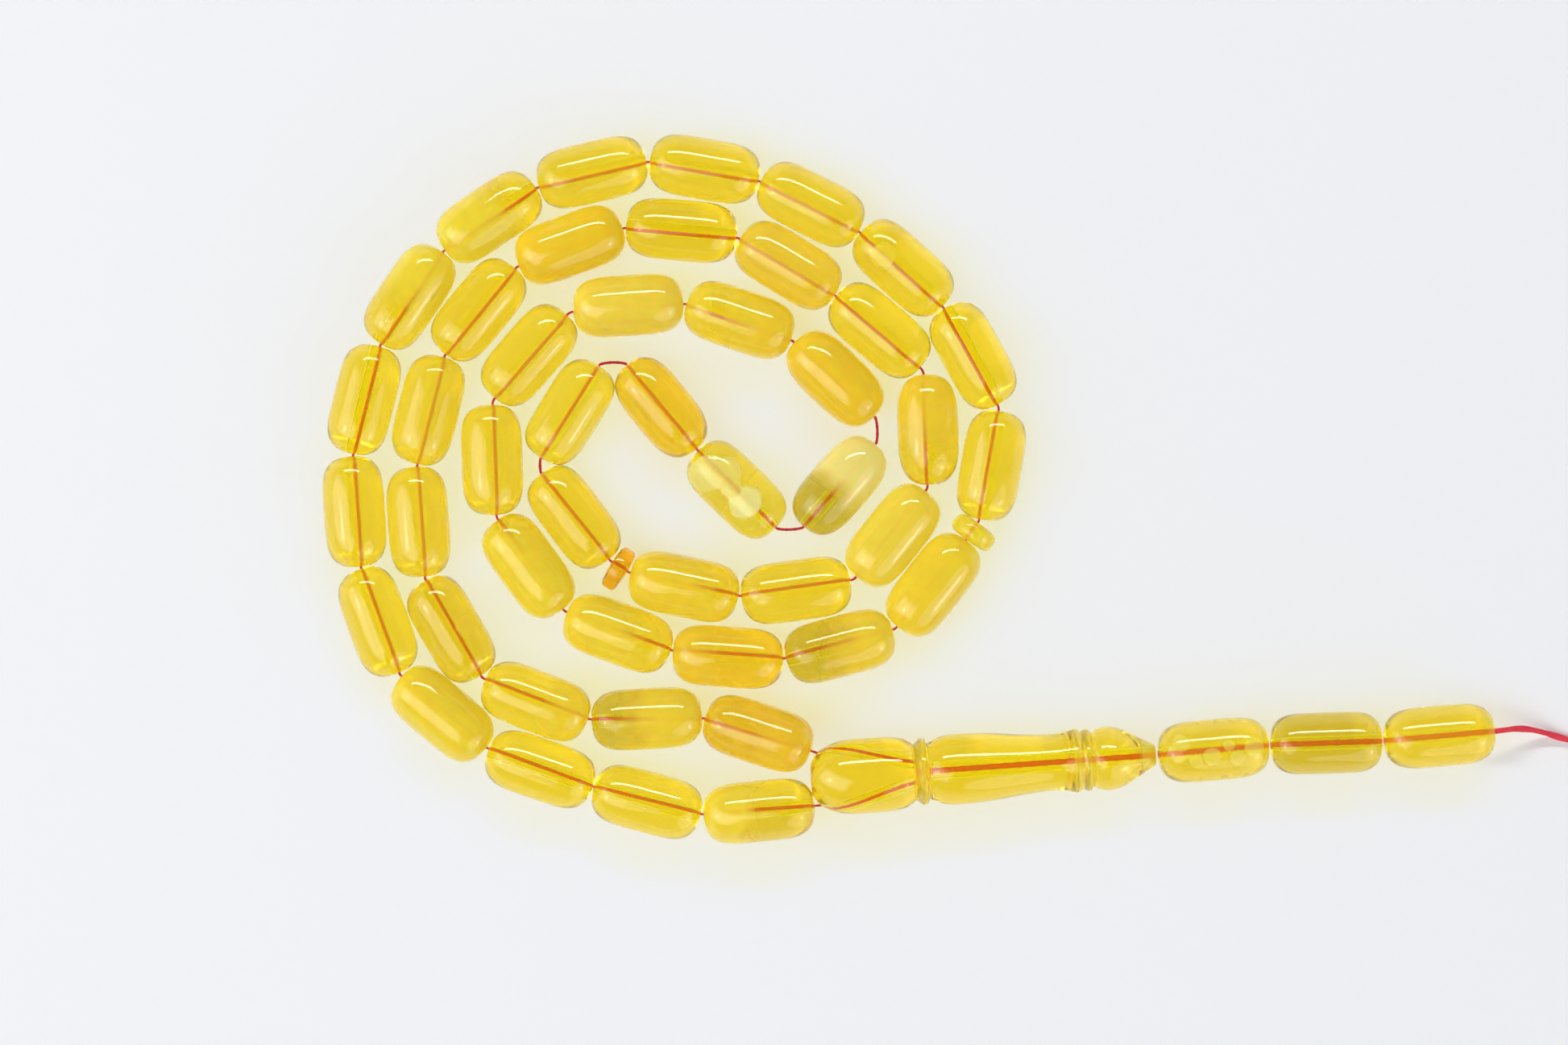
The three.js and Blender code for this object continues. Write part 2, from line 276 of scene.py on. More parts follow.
CLEAR, CUT_CLEAR, PAINTED_SHADE_COLOUR = (1.0, 0.83, 0.12, 1), (1.0, 0.74, 0.14, 1), (0.46, 0.42, 0.13, 1)
MILK, ORANGE_MILK, WHITE_MILK = (1.0, 0.75, 0.055, 1), (1.0, 0.635, 0.025, 1), (0.99, 0.92, 0.46, 1)
DRILLED, SURFACE_TINT = (1.0, 0.99, 0.08, 1), (1.0, 1.0, 0.97, 1)
WISPS_PER_METRE, WISP_WARMTH = 200.0, 0.6


def amber(name, absorb, clear_tint=CLEAR):
    """Polished amber. Per point: cloud is how milky it is, tone how orange that milk is, pale how white, the
    painted-shade layer how dark the clear part is made, painted shade for the unlit table seen through it, and wall
    is 1 on a drilled bore, which is left unpolished."""
    material, nodes, links, shader, output = new_material(name)
    shader.inputs["Subsurface Weight"].default_value = 1.0
    shader.inputs["Subsurface Radius"].default_value = (1.0, 0.7, 0.25)
    shader.inputs["Subsurface Scale"].default_value = 2 * MM
    cloud, wall = attribute(nodes, "cloud"), attribute(nodes, "wall")
    wisps = math_node(nodes, links, "SUBTRACT", noise_node(nodes, links, WISPS_PER_METRE, 0.4), 0.5)
    warmth = math_node(nodes, links, "MULTIPLY", wisps, WISP_WARMTH)
    tone = math_node(nodes, links, "ADD", attribute(nodes, "tone"), warmth, clamp=True)
    milk = mix_colour(nodes, links, tone, MILK, ORANGE_MILK)
    milk = mix_colour(nodes, links, attribute(nodes, "pale"), milk, WHITE_MILK)
    # painted shade: the painted-shade layer darkens the clear part towards that olive
    clear = mix_colour(nodes, links, attribute(nodes, "painted_shade"), clear_tint, PAINTED_SHADE_COLOUR)
    body = mix_colour(nodes, links, cloud, clear, milk)
    links.new(mix_colour(nodes, links, wall, body, DRILLED), shader.inputs["Base Color"])
    links.new(math_node(nodes, links, "SUBTRACT", 1.0, cloud, clamp=True), shader.inputs["Transmission Weight"])
    for socket, polished, drilled in (("Roughness", 0.03, 0.2), ("IOR", 1.54, 1.03)):
        links.new(map_range(nodes, links, wall, result=(polished, drilled)), shader.inputs[socket])
    let_light_through(nodes, links, shader, output)
    absorb_in(nodes, links, output, absorb)
    return material


AMBERS = {
    "clear_amber": amber("clear_amber", (1.0, 9.0, 90.0)),
    "milky_amber": amber("milky_amber", (1.0, 10.0, 90.0)),
    "orange_amber": amber("orange_amber", (1.0, 20.0, 120.0)),
    "cut_amber": amber("cut_amber", (8.0, 80.0, 650.0), CUT_CLEAR),
}
FIBRES_PER_METRE = 5200.0
# painted light: the strung-in colours show the thread as amber-yellow light shows it, not in its own crimson
STRUNG_IN_DARK, STRUNG_IN_LIGHT = (0.52, 0.010, 0.004, 1), (1.0, 0.17, 0.035, 1)


def thread_material(name, dark, light):
    """Twisted thread: dark and light are its fibres in the open; strung in amber it is painted a brighter orange,
    painted light that stands in for the amber-yellow light on it and the amber it is seen through.
    """
    material, nodes, links, shader, _ = new_material(name)
    fibres = noise_node(nodes, links, FIBRES_PER_METRE)
    loose = mix_colour(nodes, links, fibres, dark, light)
    strung_in = mix_colour(nodes, links, fibres, STRUNG_IN_DARK, STRUNG_IN_LIGHT)
    colour = mix_colour(nodes, links, attribute(nodes, "inside"), loose, strung_in)
    links.new(colour, shader.inputs["Base Color"])
    shader.inputs["Roughness"].default_value = 0.7
    shader.inputs["Sheen Weight"].default_value = 0.05
    shader.inputs["Sheen Roughness"].default_value = 0.4
    bump = nodes.new("ShaderNodeBump")
    bump.inputs["Strength"].default_value = 0.4
    bump.inputs["Distance"].default_value = 0.04 * MM
    links.new(fibres, bump.inputs["Height"])
    links.new(bump.outputs["Normal"], shader.inputs["Normal"])
    return material


red_thread = thread_material("red_thread", (0.38, 0.002, 0.015, 1), (0.64, 0.010, 0.028, 1))
free_red = thread_material("free_red_thread", (0.60, 0.006, 0.03, 1), (0.98, 0.06, 0.10, 1))

# ---- where each strung piece lies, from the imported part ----
joints = {j["child"]: j for j in frame["joints"]}


def place_of(body):
    joint = joints[body]
    return Vector(joint["pos_m"]), Vector(joint["axis"]).normalized()


def lie_along(centre, axis):
    """Where a piece made along +Y goes, so that it lies along axis with its own +Z uppermost."""
    side = axis.cross(UP).normalized()
    matrix = Matrix((side, axis, side.cross(axis))).transposed().to_4x4()
    matrix.translation = centre
    return matrix


RING_DEPTH = 0.06 * MM


def ring_centre(node, pick):
    """The middle of a CAD solid's end ring: the vertices that lie furthest along pick."""
    mesh = frame["nodes"][node].data
    reach = max(v.co.dot(pick) for v in mesh.vertices) - RING_DEPTH
    ring = [v.co for v in mesh.vertices if v.co.dot(pick) > reach]
    return sum(ring, Vector()) / len(ring)


strung = [f"bead_{n:02d}" for n in range(1, 16)] + ["round_marker"]
strung += [f"bead_{n:02d}" for n in range(16, 31)] + ["cut_marker"]
strung += [f"bead_{n:02d}" for n in range(31, 46)]
tail = [f"tail_bead_{k}" for k in (1, 2, 3)]
ROUNDNESS, FULLNESS = 2.6, 4.4  # how round a bead is across its ends, and how straight along its side
CLEARANCE = 0.05 * MM
CHECKED_AT = [0.05 * k for k in range(4, 18)]  # shares of its radius at which a bead is held clear of the next one
SWING = math.radians(12)  # the limit of each of the tail's joints
SLACK_BEND = math.radians(60)  # where the string turns by more than this, bare thread shows


def barrel(share, roundness, fullness):
    """How far along a barrel's half length its surface lies, at a share of its radius; or the other way round."""
    return (1 - share ** roundness) ** (1 / fullness)


def reach_beside(name, other, play):
    """The longest half length with which two beads that meet at a bend stay clear of each other, also where the
    bend grows by play."""
    (here, along), (there, onward) = place_of(name), place_of(other)
    half_bend = (along.angle(onward) + play) / 2
    half_way = (there - here).length / 2 * math.cos(play / 2) - CLEARANCE
    return min((half_way - BEAD_RADIUS * r * math.sin(half_bend))
               / (barrel(r, ROUNDNESS, FULLNESS) * math.cos(half_bend)) for r in CHECKED_AT)


half_length = {name: LONGEST_BEAD / 2 for name in strung + tail}
for line, play in ((strung, 0.0), (tail, SWING)):
    for name, other in zip(line, line[1:]):
        if "bead" in name and "bead" in other:
            slack = place_of(name)[1].angle(place_of(other)[1]) > SLACK_BEND
            reach = SHORTEST_BEAD / 2 if slack else reach_beside(name, other, play)
            half_length[name] = min(half_length[name], reach)
            half_length[other] = min(half_length[other], reach)

# ---- the free thread: the part's own route in mm, then the coil, to the knot ----
FREE_ROUTE = [
    (0, 0, 0), (1.4, 0.16, -0.16), (2.8, 0.28, -0.7), (4.2, 0.2, -1.5), (5.7, -0.05, -2.35),
    (7.4, -0.5, -3.0), (9.2, -1.05, -3.36), (11.1, -1.55, -3.41), (13.2, -1.95, -3.41),
    (15.4, -2.15, -3.41), (17.6, -2.2, -3.41),
]
BREAK_BEFORE = 0.15 * MM  # between the last tail bead's length of thread and the free one
tail_axis = place_of("tail_bead_3")[1]
cord_exit = ring_centre("tail_thread_3", tail_axis) + tail_axis * BREAK_BEFORE
route = [cord_exit + Vector(p) * MM for p in FREE_ROUTE]
coil_low, coil_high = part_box("thread_coil")
coil_centre = (coil_low + coil_high) / 2
coil_outer = (coil_high.x - coil_low.x) / 2 - DOUBLED / 2
knot_low, knot_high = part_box("end_knot")
knot_centre = (knot_low + knot_high) / 2
knot_reach = (knot_centre - coil_centre).to_2d().length
COIL_START = -90
COIL_RUN = range(6, 811, 12)  # degrees wound, from the route's end to the knot
TURNS_IN = (725, 812)  # over these degrees the thread leaves the coil for the knot inside it
CORD_STEP, CORD_SIDES, CORD_WAIST = 0.5 * MM, 18, 0.8


def coil_radius_at(degrees_run):
    wound = coil_outer - DOUBLED * degrees_run / 360
    return wound + (knot_reach - wound) * smooth(*TURNS_IN, degrees_run)


coil_path = []
for run in COIL_RUN:
    angle, radius = math.radians(COIL_START + run), coil_radius_at(run)
    coil_path.append(Vector((coil_centre.x + radius * math.cos(angle), coil_centre.y + radius * math.sin(angle),
                             DOUBLED / 2)))
cord_path = resample(route + coil_path, CORD_STEP)
verts, faces = sweep(cord_path, two_plies(DOUBLED, CORD_SIDES, CORD_WAIST), FREE_LAY)
free_thread = make_object("free_thread_twisted", verts, faces, [free_red])
belongs(free_thread, "tail_link_3", "red_thread", "free_thread", "thread_coil")

# the overhand knot at its end: a trefoil that runs from its start to just short of closing
KNOT_STEPS, KNOT_RUN, KNOT_START = 72, 70 / 72, 0.05
KNOT_RADIUS, KNOT_LOBES, KNOT_LONGER, KNOT_RISE = 0.62 * MM, 0.42, 1.1, 0.34 * MM
KNOT_SIDES, PULLED_TIGHT = 12, 0.8  # in the knot the thread keeps this share of its width
knot_points = []
for k in range(KNOT_STEPS + 1):
    t = 2 * math.pi * k / KNOT_STEPS * KNOT_RUN + KNOT_START
    radius = KNOT_RADIUS * (1 + KNOT_LOBES * math.cos(3 * t))
    knot_points.append(knot_centre + Vector((radius * math.cos(2 * t), radius * math.sin(2 * t) * KNOT_LONGER,
                                             KNOT_RISE * math.sin(3 * t))))
verts, faces = sweep(knot_points, two_plies(DOUBLED * PULLED_TIGHT, KNOT_SIDES), DOUBLED_LAY)
knot = make_object("overhand_knot", verts, faces, [free_red])
belongs(knot, "tail_link_3", "red_thread", "end_knot")

# ---- the thread of the loop, and the doubled thread in the stem and the tail beads ----
TIPWARD, HEADWARD = Vector((1, 0.07, 0)), Vector((-1, -0.07, 0.02))  # the ways the imame's ends point, roughly
imame_tip, imame_head = ring_centre("imame", TIPWARD.normalized()), ring_centre("imame", HEADWARD.normalized())
imame_axis = (imame_tip - imame_head).normalized()
imame_matrix = lie_along(imame_head, imame_axis)
MOUTH, APEX = (3.4, 1.1), (0.4, 14.7)  # where its slanted bores start and end: mm beside its axis and along it


def in_imame(place, side):
    """A place on the slanted bore to one side (1 or -1), as it lies in the string."""
    return imame_matrix @ Vector((side * place[0] * MM, place[1] * MM, 0))


def hermite(start, leave, end, arrive, t):
    """The point at t on the curve from start to end that sets out along leave and comes in along arrive."""
    return (start * (2 * t ** 3 - 3 * t * t + 1) + leave * (t ** 3 - 2 * t * t + t)
            + end * (3 * t * t - 2 * t ** 3) + arrive * (t ** 3 - t * t))


# the shares of its width that the single thread has strung and slack, and that the doubled thread has strung
TAUT, LOOSE, STRETCHED = 0.72, 0.85, 0.62
LOOP_SIDES, STEM_SIDES = 10, 14
LOOP_STEP, GAP_STEP, STEM_STEP = 0.3 * MM, 0.2 * MM, 0.4 * MM
MARKER_HALF = 1.25 * MM
SLACK_GAP, SLACK_PULL = 1.5 * MM, 0.45  # over a longer gap the thread is slack, and turns sooner past a bead's end
TAUT_GAP, LEAST_BEND = 1.6 * MM, 0.02  # over a shorter gap and a sharper bend it lies aside in the bores
ASIDE, FULL_BEND = 0.32, 0.25  # by so many mm, which it reaches at this bend
stations = [(in_imame(APEX, 1), in_imame(MOUTH, 1))]
for name in strung:
    centre, axis = place_of(name)
    half = half_length[name] if name.startswith("bead") else MARKER_HALF
    stations.append((centre - axis * half, centre + axis * half))
stations.append((in_imame(MOUTH, -1), in_imame(APEX, -1)))
# pulled taut, the thread lies against the inside of each bend
for i in range(1, len(stations) - 2):
    (a, b), (c, d) = stations[i], stations[i + 1]
    bend = (d - c).normalized() - (b - a).normalized()
    if (c - b).length < TAUT_GAP and bend.length > LEAST_BEND:
        shift = bend.normalized() * ASIDE * MM * min(1.0, bend.length / FULL_BEND)
        stations[i], stations[i + 1] = (a, b + shift), (c + shift, d)
loop_path = straight_steps(list(stations[0]), LOOP_STEP)
swell, inside = [TAUT] * len(loop_path), [1.0] * len(loop_path)
for (a, b), (c, d) in zip(stations, stations[1:]):
    gap = (c - b).length
    slack = gap > SLACK_GAP
    pull = gap * (SLACK_PULL if slack else 1.0)
    leave, arrive = (b - a).normalized() * pull, (d - c).normalized() * pull
    steps = max(2, round(gap / GAP_STEP))
    for k in range(1, steps):
        t = k / steps
        loop_path.append(hermite(b, leave, c, arrive, t))
        swell.append(TAUT + (LOOSE - TAUT) * math.sin(math.pi * t) ** 0.5 if slack else TAUT)
        inside.append(0.0)
    loop_path += straight_steps([c, d], LOOP_STEP)
    swell += [TAUT] * (len(loop_path) - len(swell))
    inside += [1.0] * (len(loop_path) - len(inside))
verts, faces = sweep(loop_path, two_plies(THREAD, LOOP_SIDES), THREAD_LAY,
                     taper=lambda share: swell[round(share * (len(swell) - 1))])
loop_thread = make_object("loop_thread_twisted", verts, faces, [red_thread])
mark(loop_thread, "inside", [level for level in inside for _ in range(LOOP_SIDES)])
belongs(loop_thread, "imame", "red_thread", "loop_thread")
loop_thread.visible_shadow = False


FULL_WIDTH_END = 0.06


def stretched(share):
    """The doubled thread is thin where it is strung in, and has its full width only at its very ends."""
    return STRETCHED + (1 - STRETCHED) * smooth(FULL_WIDTH_END, 0.0, min(share, 1 - share))


for node, body in [("stem_thread", "imame")] + [(f"tail_thread_{k}", f"tail_link_{k}") for k in (1, 2, 3)]:
    along = imame_axis if node == "stem_thread" else place_of(f"tail_bead_{node[-1]}")[1]
    path = straight_steps([ring_centre(node, -along), ring_centre(node, along)], STEM_STEP)
    verts, faces = sweep(path, two_plies(DOUBLED, STEM_SIDES), DOUBLED_LAY, taper=stretched)
    piece = make_object(f"{node}_twisted", verts, faces, [red_thread])
    mark(piece, "inside", [1.0] * len(verts))
    belongs(piece, body, "red_thread", node)
    piece.visible_shadow = False

# ---- turned pieces ----
AROUND = 56
FACE_STEPS, SIDE_STEPS = 12, 16
FACE_FROM, SHOULDER_AT = 0.2, 0.8  # as shares of a bead's radius and of its half length
RIM_DEPTH, RIM_WIDTH, RIM_DROP = 0.10 * MM, 0.07 * MM, 0.02 * MM
BORE_STEPS, BORE_INSET = 6, 0.15 * MM  # rings of a bore's wall to each side, the last of them below the rim
UNEVENNESS, UNEVEN_SIZE, INWARDS = 0.004, 6 * MM, 0.4  # a bead's surface goes in more than it goes out
BEAD_SEED, MARKER_SEED, IMAME_SEED, CLOUD_SEED = 100, 70, 300, 900


def shift_of(seed, low, high):
    """A shift through the noise that is each piece's own, and the same in each run."""
    return Vector([random.Random(seed).uniform(low, high)] * 3)


def perlin(point):
    return noise.noise(point, noise_basis="PERLIN_NEW")


def bead_half(reach, fullness, rows):
    """From the bore's rounded rim outwards to the middle: (radius, along)."""
    points = [(BORE_RADIUS, reach - RIM_DEPTH), (BORE_RADIUS + RIM_WIDTH, reach - RIM_DROP)]
    shoulder = barrel(SHOULDER_AT, fullness, ROUNDNESS)
    for k in range(FACE_STEPS):
        r = FACE_FROM + (shoulder - FACE_FROM) * k / FACE_STEPS
        points.append((BEAD_RADIUS * r, reach * barrel(r, ROUNDNESS, fullness)))
    for k in range(rows):
        s = SHOULDER_AT * (1 - k / rows)
        points.append((BEAD_RADIUS * barrel(s, fullness, ROUNDNESS), reach * s))
    return points


def holed_piece(name, half, material, seed=0, unevenness=0.0, around=AROUND):
    """A solid turned about +Y with a bore through it; half is its outline from the bore's rim to its middle."""
    wobble = shift_of(seed, -50, 50)
    outer = half + [(r, -y) for r, y in reversed(half)]
    end = half[0][1] - BORE_INSET
    profile = outer + [(BORE_RADIUS, end * (k / BORE_STEPS - 1)) for k in range(2 * BORE_STEPS + 1)]
    verts = []
    for j, (r, y) in enumerate(profile):
        for k in range(around):
            a = 2 * math.pi * (k + 0.5) / around
            v = Vector((r * math.cos(a), y, r * math.sin(a)))
            if j < len(outer):
                v *= 1 + unevenness * (perlin(v / UNEVEN_SIZE + wobble) - INWARDS)
            verts.append(v)
    obj = make_object(name, verts, ring_faces(around, len(profile), endless=True), [material])
    mark(obj, "wall", [float(j >= len(outer)) for j in range(len(profile)) for _ in range(around)])
    return obj


DRIFT_SIZE, FINE_SIZE = 3.2 * MM, 1.4 * MM
MOTTLED, SPECKLED, MOTTLED_FROM = 0.10, 0.04, (0.35, 0.6)  # how uneven milk is, widely and finely, by its cloud
RAGGED, FRAYED = 0.25, 0.03  # how far a cloud's edge wanders, widely and finely
BLOB_EDGE = (0.86, 1.06)  # shares of a blob's radius
BAND_OUT, BAND_IN = 0.35, 0.05  # mm over which a band fades in, outside and inside its ends
GRAIN_SIZE, GRAIN_ACROSS, GRAIN_MILK = 5 * MM, 4, 0.3
CLOUD_STEP, STEP_AT, STEP_FROM, STEP_UP_TO = 0.04, (0.235, 0.265), (0.1, 0.2), (0.3, 0.5)  # in a cloud's edge
# beside the thread, where the bore's wall faces sideways as the bead lies, its milk is painted brightness for the
# bright edges the bore shows from above
WALL_VEIL, PAINTED_FLANK_SHINE, FLANK = 0.04, 0.85, (0.7, 0.98)  # how milky a bore's wall is over and under the thread, and beside it


def paint(obj, matrix, seed, cloud, tone=0.0, pale=0.0, painted_shade=0.0, regions=(), blobs=(), streaks=0.0, bands=()):
    """Milkiness point by point. A region is (direction, start, softness, change): past start, a share of a bead's
    half length towards that compass direction, it changes the cloud. A blob is (x, y, radius, cloud) in mm from
    the piece's middle as it lies. Streaks run along the bore. A band is (from, to, cloud, tone) in mm along it."""
    away = shift_of(seed + CLOUD_SEED, 0.1, 0.5)
    rotation = matrix.to_3x3()
    walls = obj.data.attributes["wall"].data
    layers = {"cloud": [], "tone": [], "pale": [], "painted_shade": []}
    for v in obj.data.vertices:
        world = rotation @ v.co
        place = v.co + away
        drift, fine = perlin(place / DRIFT_SIZE), perlin(place / FINE_SIZE)
        value = cloud + (MOTTLED * drift + SPECKLED * fine) * smooth(*MOTTLED_FROM, cloud)
        for direction, start, softness, change in regions:
            d = math.radians(direction)
            at = (world.x * math.cos(d) + world.y * math.sin(d)) / (LONGEST_BEAD / 2) + RAGGED * drift
            value += change * smooth(start - softness, start + softness, at)
        for x, y, radius, milky in blobs:
            off = math.hypot(world.x - x * MM, world.y - y * MM) / (radius * MM) + RAGGED * drift + FRAYED * fine
            value += (milky - value) * (1 - smooth(*BLOB_EDGE, off))
        warm = tone
        for low, high, milky, warmer in bands:
            along = v.co.y / MM
            level = smooth(low - BAND_OUT, low + BAND_IN, along)
            level *= 1 - smooth(high - BAND_IN, high + BAND_OUT, along)
            value += (milky - value) * level
            warm += (warmer - warm) * level
        grain = 0.0
        if streaks:
            across = Vector((place.x * GRAIN_ACROSS, place.y, place.z * GRAIN_ACROSS))
            grain = streaks * perlin(across / GRAIN_SIZE)
        value += GRAIN_MILK * grain
        # a cloud in amber has an edge: there its milkiness steps from thin to solid
        if regions or blobs or bands:
            near = smooth(*STEP_FROM, value) * (1 - smooth(*STEP_UP_TO, value))
            value += CLOUD_STEP * near * (2 * smooth(*STEP_AT, value) - 1)
        # a bore's wall is painted milky beside the thread: painted brightness for the bore's bright edges seen from
        # above
        if walls[v.index].value > 0.5:
            value = WALL_VEIL + (PAINTED_FLANK_SHINE - WALL_VEIL) * smooth(*FLANK, abs(v.normal.x))
        # the painted-shade layer is painted shade, one level over the whole piece
        for layer, level in (("cloud", value), ("tone", warm + grain), ("pale", pale), ("painted_shade", painted_shade)):
            layers[layer].append(min(max(level, 0.0), 1.0))
    for layer, values in layers.items():
        mark(obj, layer, values)


def finish_piece(obj, matrix, node, slot):
    """Lays a painted piece where its CAD node lies, which is also its body."""
    obj.matrix_world = matrix
    belongs(obj, node, slot, node)


# How each bead looks: how milky, orange and white it is, and how much painted shade darkens its clear part,
# then where that changes, by compass degrees.
W, E, N, S, NE, SW = 180, 0, 90, 270, 45, 225
LOOKS = {
    "bead_01": dict(cloud=0.1, painted_shade=0.2, regions=[(W, 0.15, 0.25, 0.75)]),
    "bead_02": dict(cloud=0.12, tone=0.1),
    "bead_03": dict(cloud=0.10, tone=0.2),
    "bead_04": dict(cloud=0.85, tone=0.3, streaks=0.3),
    "bead_05": dict(cloud=0.15),
    "bead_06": dict(cloud=0.2, tone=0.2),
    "bead_07": dict(cloud=0.05, regions=[(E, 0.15, 0.25, 0.12)]),
    "bead_08": dict(cloud=0.75, regions=[(SW, 0.0, 0.4, -0.6)]),
    "bead_09": dict(cloud=0.75, regions=[(NE, 0.2, 0.35, -0.65)]),
    "bead_10": dict(cloud=0.2, tone=0.2),
    "bead_11": dict(cloud=0.18, tone=0.2),
    "bead_12": dict(cloud=0.3, tone=0.3),
    "bead_13": dict(cloud=0.15, blobs=[(-2.7, 1.5, 1.8, 0.6)]),
    "bead_14": dict(cloud=0.06),
    "bead_15": dict(cloud=0.2, tone=0.2),
    "bead_16": dict(cloud=0.85, tone=0.4),
    "bead_17": dict(cloud=0.12, painted_shade=0.5, regions=[(E, 0.0, 0.6, 0.7)]),
    "bead_18": dict(cloud=0.6, tone=0.9, regions=[(E, -0.4, 0.4, -0.42)]),
    "bead_19": dict(cloud=0.85, tone=0.3, regions=[(E, 0.25, 0.4, -0.68)]),
    "bead_20": dict(cloud=0.85, tone=0.2, regions=[(N, 0.5, 0.3, -0.65)]),
    "bead_21": dict(cloud=0.28, tone=0.4),
    "bead_22": dict(cloud=0.28, tone=0.3),
    "bead_23": dict(cloud=0.92, tone=0.5, pale=0.1, streaks=0.2),
    "bead_24": dict(cloud=0.8, tone=0.5, regions=[(W, -0.05, 0.4, -0.62), (W, 0.7, 0.2, 0.4)]),
    "bead_25": dict(cloud=0.85, tone=0.8),
    "bead_26": dict(cloud=0.1, painted_shade=0.65, pale=0.6, regions=[(NE, -0.1, 0.3, 0.75)]),
    "bead_27": dict(cloud=0.12, painted_shade=0.15, pale=0.9,
                    blobs=[(-3.9, 1.9, 2.5, 0.6), (1.2, -1.6, 2.3, 0.8), (-1.3, 2.2, 2.0, 0.55),
                           (-0.6, 0.3, 1.4, 0.5)]),
    "bead_28": dict(cloud=0.2, tone=0.9),
    "bead_29": dict(cloud=0.2, pale=0.2),
    "bead_30": dict(cloud=0.2, tone=0.7),
    "bead_31": dict(cloud=0.85, tone=0.5, regions=[(E, 0.35, 0.4, -0.68)]),
    "bead_32": dict(cloud=0.2, tone=0.5),
    "bead_33": dict(cloud=0.85, tone=0.3, pale=0.08),
    "bead_34": dict(cloud=0.7, tone=0.6, painted_shade=0.12, regions=[(S, 0.05, 0.5, -0.58)]),
    "bead_35": dict(cloud=0.15, tone=0.2),
    "bead_36": dict(cloud=0.35, tone=0.5, pale=0.2),
    "bead_37": dict(cloud=0.06, painted_shade=0.1),
    "bead_38": dict(cloud=0.88, tone=0.8, streaks=0.4),
    "bead_39": dict(cloud=0.2, tone=0.6),
    "bead_40": dict(cloud=0.35, tone=0.3),
    "bead_41": dict(cloud=0.3, tone=0.5),
    "bead_42": dict(cloud=0.15, tone=0.5, painted_shade=0.2, blobs=[(2.2, 0.6, 1.5, 0.5)]),
    "bead_43": dict(cloud=0.2, tone=0.5, regions=[(E, 0.35, 0.35, 0.4)]),
    "bead_44": dict(cloud=0.1, painted_shade=0.5, regions=[(E, -0.25, 0.45, 0.75)]),
    "bead_45": dict(cloud=0.2, tone=0.9, painted_shade=0.2, streaks=0.5, regions=[(E, 0.0, 0.35, 0.5)]),
    "tail_bead_1": dict(cloud=0.15, pale=0.5,
                        blobs=[(-4.6, 1.0, 1.1, 0.5), (-2.6, -1.2, 0.9, 0.45), (-0.4, -0.6, 1.2, 0.5),
                               (1.6, 0.8, 0.8, 0.45), (2.9, -0.9, 1.0, 0.5), (5.0, 0.4, 1.2, 0.5)]),
    "tail_bead_2": dict(cloud=0.10, painted_shade=0.4),
    "tail_bead_3": dict(cloud=0.2, tone=0.1),
}
FULLNESS_OF = {"bead_25": 3.4, "bead_26": 3.4, "bead_28": 3.4, "bead_34": 3.4, "tail_bead_2": 5.4}
record_slot = {s["node"]: s["material_slot"] for s in frame["record"]["subparts"]}
bead_names = [n for n in strung if n.startswith("bead")] + tail
for index, name in enumerate(bead_names):
    matrix = lie_along(*place_of(name))
    slot = record_slot[name]
    finer = 2 if {"blobs", "regions"} & LOOKS[name].keys() else 1  # a mesh fine enough for the edge of a cloud
    half = bead_half(half_length[name], FULLNESS_OF.get(name, FULLNESS), SIDE_STEPS * finer)
    obj = holed_piece(f"{name}_turned", half, AMBERS[slot], BEAD_SEED + index, UNEVENNESS, AROUND * finer)
    paint(obj, matrix, index, **LOOKS[name])
    finish_piece(obj, matrix, name, slot)


HUB_RADIUS, HUB_RIM_DEPTH, HUB_RIM_WIDTH = 1.3 * MM, 0.08 * MM, 0.06 * MM
SHARP_FROM = math.radians(14)


def marker_half(radius, hub, rim, edge):
    """Half a marker's outline: the flat face of its hub, then its edge, whose points are shares of the radius and
    of the rim's half thickness."""
    face = [(BORE_RADIUS, hub / 2 - HUB_RIM_DEPTH), (BORE_RADIUS + HUB_RIM_WIDTH, hub / 2), (HUB_RADIUS, hub / 2)]
    return face + [(radius * r, rim / 2 * along) for r, along in edge]


MARKERS = {
    "round_marker": dict(material="clear_amber", look=dict(cloud=0.45, tone=0.2),
                         outline=marker_half(3.05 * MM, 2.7 * MM, 2.2 * MM, [
                             (0.6, 1.2), (0.8, 1.1), (0.91, 0.92), (0.98, 0.55), (1.0, 0.12)])),
    "cut_marker": dict(material="cut_amber", look=dict(cloud=0.10, tone=1.0),
                       outline=marker_half(2.95 * MM, 2.4 * MM, 1.75 * MM, [(0.82, 1.16), (0.97, 0.9), (1.0, 0.45)])),
}
for name, marker in MARKERS.items():
    matrix = lie_along(*place_of(name))
    obj = holed_piece(f"{name}_turned", marker["outline"], AMBERS[marker["material"]])
    paint(obj, matrix, MARKER_SEED, **marker["look"])
    if name == "cut_marker":
        obj.data.set_sharp_from_angle(angle=SHARP_FROM)
    finish_piece(obj, matrix, name, record_slot[name])

